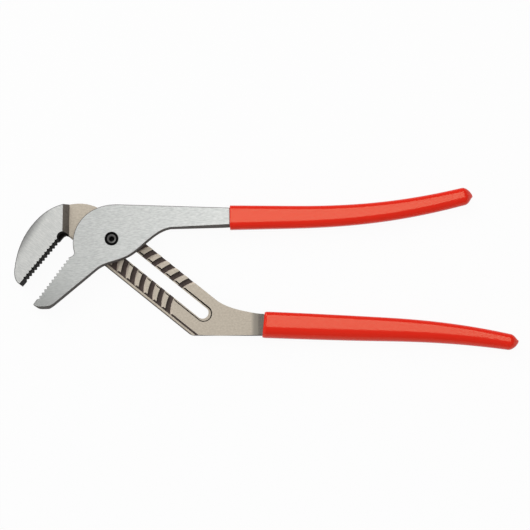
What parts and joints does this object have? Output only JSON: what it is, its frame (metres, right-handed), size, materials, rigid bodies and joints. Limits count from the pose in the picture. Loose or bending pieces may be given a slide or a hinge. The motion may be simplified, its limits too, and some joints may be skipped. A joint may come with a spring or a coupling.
{
  "type": "water pump pliers",
  "caption": "Long tongue and groove pliers: a hook jaw on a slotted, grooved bar and a swing jaw that turns and slides along the slot, with red dipped grips.",
  "frame": {"origin": "on the pivot axis at the plane that the pliers lie on", "axes": "+X towards the handle ends, +Y from the slotted half's handle to the swing half's handle, +Z out of the front face along the pivot axis"},
  "size_m": [0.4167, 0.135, 0.0191],
  "materials": {
    "slotted_steel": "satin, warm tan",
    "swing_steel": "finely ground",
    "black_oxide": "black oxide",
    "dipped_vinyl": "glossy"
  },
  "bodies": {
    "slotted": {"slotted_half": "slotted_steel", "slotted_grip": "dipped_vinyl"},
    "pivot": {"pivot_screw": "black_oxide", "pivot_nut": "black_oxide"},
    "swing": {"swing_half": "swing_steel", "swing_grip": "dipped_vinyl"}
  },
  "joints": [
    {"name": "pivot_slide", "type": "slide", "parent": "slotted", "child": "pivot", "axis": [0.7793, -0.6266, 0], "range_m": [0, 0.0576]},
    {"name": "jaw_swing", "type": "hinge", "parent": "pivot", "child": "swing", "pos_m": [0, 0, 0.0085], "axis": [0, 0, 1], "range_deg": [-11.7, 45]}
  ]
}
